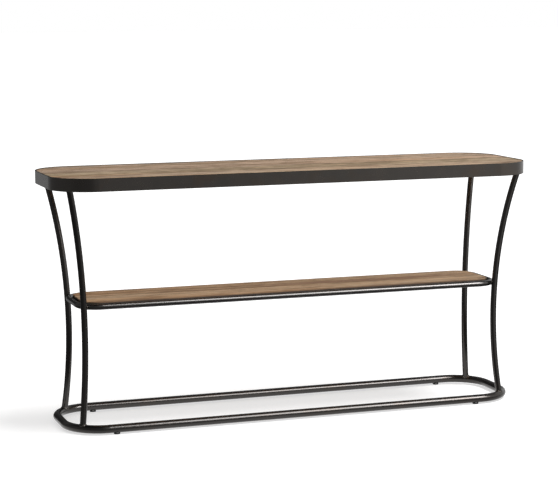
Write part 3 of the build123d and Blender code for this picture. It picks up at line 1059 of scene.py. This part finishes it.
def make_camera():
    """Camera that stands where the photograph was taken."""
    data = bpy.data.cameras.new("camera")
    data.lens = CAMERA_LENS
    data.sensor_width = CAMERA_SENSOR
    data.clip_end = CAMERA_CLIP
    camera = add_to_scene("camera", data)
    aim = Euler((math.radians(90 + CAMERA_PITCH), 0, math.radians(CAMERA_YAW))).to_matrix()
    roll = Matrix.Rotation(math.radians(CAMERA_ROLL), 3, "Z")
    camera.matrix_world = Matrix.Translation(CAMERA_PLACE) @ (aim @ roll).to_4x4()
    bpy.context.scene.camera = camera


def wall_light(g, place):
    """Brightness of the studio's wall in the direction of a place."""
    x, y, _ = g.split(place)
    turn = g.math("ARCTAN2", x, g.math("MULTIPLY", y, -1.0))
    around = g.math("MULTIPLY_ADD", turn, 1 / TURN, 0.5)
    return g.ramp(around, [(0.5 + share, tone) for share, tone in WALLS])


def make_world():
    """White to the camera, the studio's walls in reflections, and a plain pale room for the rest."""
    world = bpy.data.worlds.new("studio")
    bpy.context.scene.world = world
    world.use_nodes = True
    g = Graph(world.node_tree)
    ray = g.add("ShaderNodeLightPath")
    direction = g.add("ShaderNodeTexCoord").outputs["Generated"]
    _, back, up = g.split(direction)
    room = g.math("MULTIPLY", wall_light(g, direction), g.between(up, *CEILING_UP, 1.0, CEILING))
    room = g.math("MULTIPLY", room, g.between(back, *BEHIND_BACK, 1.0, BEHIND))
    plain, gloss, white = (
        g.add("ShaderNodeBackground", {"Color": WHITE, "Strength": strength})
        for strength in (ROOM_DIFFUSE, room, 1.0)
    )
    shown = g.choose(ray.outputs["Is Glossy Ray"], plain, gloss)
    seen = g.choose(ray.outputs["Is Camera Ray"], shown, white)
    g.add("ShaderNodeOutputWorld", {"Surface": seen.outputs[0]})


def make_floor():
    """Paper, white to the camera but for the table's shadow. Metal mirrors it as part of the room."""
    mesh = bpy.data.meshes.new("floor")
    corners = [(-FLOOR_HALF, -FLOOR_HALF, 0), (FLOOR_HALF, -FLOOR_HALF, 0)]
    corners += [(FLOOR_HALF, FLOOR_HALF, 0), (-FLOOR_HALF, FLOOR_HALF, 0)]
    mesh.from_pydata(corners, [], [(0, 1, 2, 3)])
    floor = add_to_scene("floor", mesh)
    made, g = material("floor")
    ray = g.add("ShaderNodeLightPath")
    place = g.add("ShaderNodeNewGeometry").outputs["Position"]
    paper = g.add("ShaderNodeBsdfDiffuse", {"Color": colour(PAPER, PAPER, PAPER)})
    glow = g.add("ShaderNodeEmission", {"Color": WHITE, "Strength": PAPER_GLOW})
    seen_paper = g.add("ShaderNodeBsdfDiffuse", {"Color": colour(SEEN_PAPER, SEEN_PAPER, SEEN_PAPER)})
    lit = g.add("ShaderNodeAddShader", {0: seen_paper.outputs[0], 1: glow.outputs[0]})
    away = g.vector("LENGTH", g.vector("MULTIPLY", place, FLOOR_COUNTS), out="Value")
    near = g.ramp(away, FLOOR_GLOSS)
    mirror = g.mix(g.between(away, *FLOOR_AS_WALL), near, wall_light(g, place))
    sheen = g.add("ShaderNodeEmission", {"Color": mirror, "Strength": 1.0})
    other = g.choose(ray.outputs["Is Glossy Ray"], paper, sheen)
    g.surface(g.choose(ray.outputs["Is Camera Ray"], other, lit))
    mesh.materials.append(made)
    return floor


def link_light(lamp, floor, on_floor):
    """The lamp lights the floor alone, or everything but the floor."""
    group = bpy.data.collections.new(lamp.name + "_lights")
    group.objects.link(floor)
    lamp.light_linking.receiver_collection = group
    if not on_floor:
        group.collection_objects[0].light_linking.link_state = "EXCLUDE"


def aimed(direction):
    """Rotation of a lamp that shines in a direction."""
    return Vector(direction).to_track_quat("-Z", "Y").to_euler()


def soft_box(name, place, size, radiance, floor):
    """Area lamp that faces the table and doesn't light the floor. Its power gives the stated radiance."""
    data = bpy.data.lights.new(name, "AREA")
    data.shape = "RECTANGLE"
    data.size, data.size_y = size
    data.energy = radiance * math.pi * data.size * data.size_y
    lamp = add_to_scene(name, data)
    lamp.location = place
    lamp.rotation_euler = aimed(Vector(LAMP_AIM) - lamp.location)
    link_light(lamp, floor, False)


def make_lamps(floor):
    """Two soft boxes for the table, and a sun that draws its shadow on the floor."""
    soft_box("key", KEY_PLACE, KEY_SIZE, KEY_RADIANCE, floor)
    soft_box("accent", ACCENT_PLACE, ACCENT_SIZE, ACCENT_RADIANCE, floor)
    data = bpy.data.lights.new("side_sun", "SUN")
    data.energy = SIDE_SUN
    data.angle = math.radians(SIDE_SUN_ANGLE)
    sun = add_to_scene("side_sun", data)
    height = math.radians(SIDE_SUN_HEIGHT)
    sun.rotation_euler = aimed((-math.cos(height), SIDE_SUN_FORWARD, -math.sin(height)))
    link_light(sun, floor, True)


weld_steel, plated_steel = paint_nodes()
make_wood()
make_welds(weld_steel)
make_screws("top_screw_set", "top_screws", plated_steel, TOP_SCREW_SEED)
make_screws("shelf_screw_set", "shelf_screws", plated_steel, SHELF_SCREW_SEED)
for foot_corner in CORNERS:
    make_stud(foot_corner, plated_steel)
make_camera()
make_world()
make_lamps(make_floor())
bpy.context.scene.view_settings.view_transform = "Standard"
